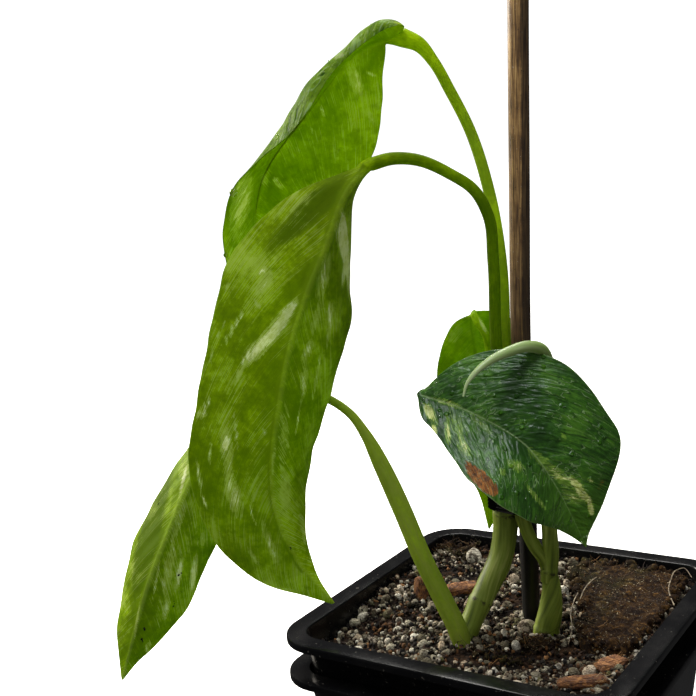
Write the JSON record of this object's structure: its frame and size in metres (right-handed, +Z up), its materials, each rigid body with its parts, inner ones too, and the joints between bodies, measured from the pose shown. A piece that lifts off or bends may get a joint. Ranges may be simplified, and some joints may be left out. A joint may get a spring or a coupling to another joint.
{
  "type": "potted variegated monstera lechleriana",
  "caption": "Young climbing houseplant with long drooping cream-streaked green leaves, tied to a bamboo stake, in nested square nursery pots.",
  "frame": {"origin": "middle of the outer pot's underside, on the surface it stands on", "axes": "+Z up along the pots, +X along the pots' front side to the right, +Y to the back; the plant's leaves hang towards -X"},
  "size_m": [0.1668, 0.1236, 0.3542],
  "materials": {
    "pot_plastic": "thin black thermoformed plastic, satin",
    "growing_mix": "loose bark, coir and pumice grains, matt",
    "coir": "felted coconut fibre, matt",
    "husk": "fibrous coconut husk, matt",
    "bamboo": "dry brown bamboo cane, satin, black where it was dipped",
    "strap_cloth": "black hook-and-loop cloth, matt",
    "cane": "smooth green plant stem, waxy",
    "leaf": "variegated green leaf, waxy satin",
    "old_leaf": "dark green variegated leaf, wet and glossy",
    "new_leaf": "pale rolled young leaf, waxy"
  },
  "bodies": {
    "root": {"pot_outer": "pot_plastic", "pot_inner": "pot_plastic", "growing_mix": "growing_mix", "coir_plug": "coir", "husk_chip_front": "husk", "husk_chip_right": "husk", "husk_chip_left": "husk", "husk_chip_back": "husk", "stake": "bamboo", "strap": "strap_cloth", "cane_left": "cane", "cane_right": "cane", "leaf_top": "leaf", "leaf_long": "leaf", "leaf_low": "leaf", "leaf_back": "leaf", "leaf_front": "old_leaf", "new_leaf": "new_leaf"}
  },
  "joints": []
}
